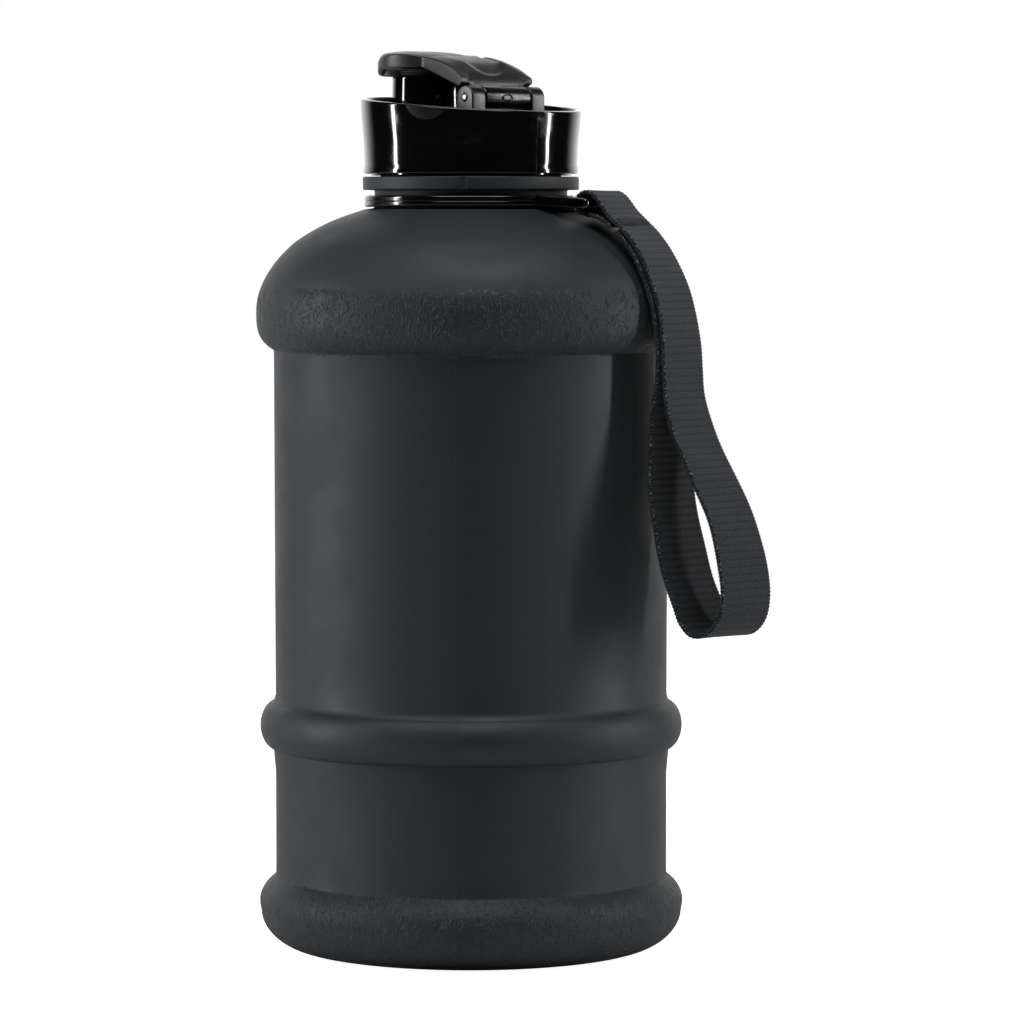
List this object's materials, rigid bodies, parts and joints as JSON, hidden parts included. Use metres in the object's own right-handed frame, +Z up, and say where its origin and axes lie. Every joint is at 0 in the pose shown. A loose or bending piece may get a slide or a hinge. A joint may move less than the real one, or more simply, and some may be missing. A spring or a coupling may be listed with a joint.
{
  "type": "water jug",
  "caption": "Large matt water jug with a screw cap, a flip lid over a drinking spout, and a swivelling collar with a webbing wrist strap.",
  "frame": {"origin": "centre of the bottle's base, on the surface that it stands on", "axes": "+Z up along the bottle's axis; the spout is on the -X side; the lid's hinge pin runs along Y on the +X side; the strap's lug points 19 degrees from +X towards +Y"},
  "size_m": [0.1431, 0.1214, 0.2527],
  "materials": {
    "bottle_matt": "matt black moulded plastic with a fine grain on the shoulder band and base ring",
    "cap_gloss": "gloss black moulded plastic",
    "liner_rubber": "soft pale grey gasket",
    "lid_matt": "satin black moulded plastic",
    "plug_rubber": "soft black rubber",
    "pin_steel": "plain steel wire",
    "collar_gloss": "gloss black moulded plastic",
    "webbing": "ribbed black webbing with looped edge threads",
    "yarn": "black sewing thread"
  },
  "bodies": {
    "jug": {"bottle": "bottle_matt"},
    "liner": {"cap_liner": "liner_rubber"},
    "cap": {"screw_cap": "cap_gloss", "hinge_pin": "pin_steel"},
    "lid": {"flip_lid": "lid_matt", "spout_plug": "plug_rubber"},
    "collar": {"collar_ring": "collar_gloss"},
    "strap": {"wrist_strap": "webbing", "strap_stitching": "yarn"}
  },
  "joints": [
    {"name": "cap_lift", "type": "slide", "parent": "jug", "child": "liner", "axis": [0, 0, 1], "range_m": [0, 0.01251]},
    {"name": "cap_unscrew", "type": "hinge", "parent": "liner", "child": "cap", "pos_m": [0, 0, 0.2325], "axis": [0, 0, 1], "range_deg": [0, 900]},
    {"name": "lid_flip", "type": "hinge", "parent": "cap", "child": "lid", "pos_m": [0.0125, 0, 0.2404], "axis": [0, 1, 0], "range_deg": [0, 135]},
    {"name": "collar_swivel", "type": "hinge", "parent": "jug", "child": "collar", "pos_m": [0, 0, 0.2115], "axis": [0, 0, 1], "continuous": true},
    {"name": "strap_swing", "type": "hinge", "parent": "collar", "child": "strap", "pos_m": [0.03924, 0.01351, 0.2108], "axis": [0.3256, -0.9455, 0], "range_deg": [0, 120]}
  ],
  "couplings": [
    {"joint": "cap_lift", "follows": "cap_unscrew", "m_per_rad": 0.00079577}
  ]
}
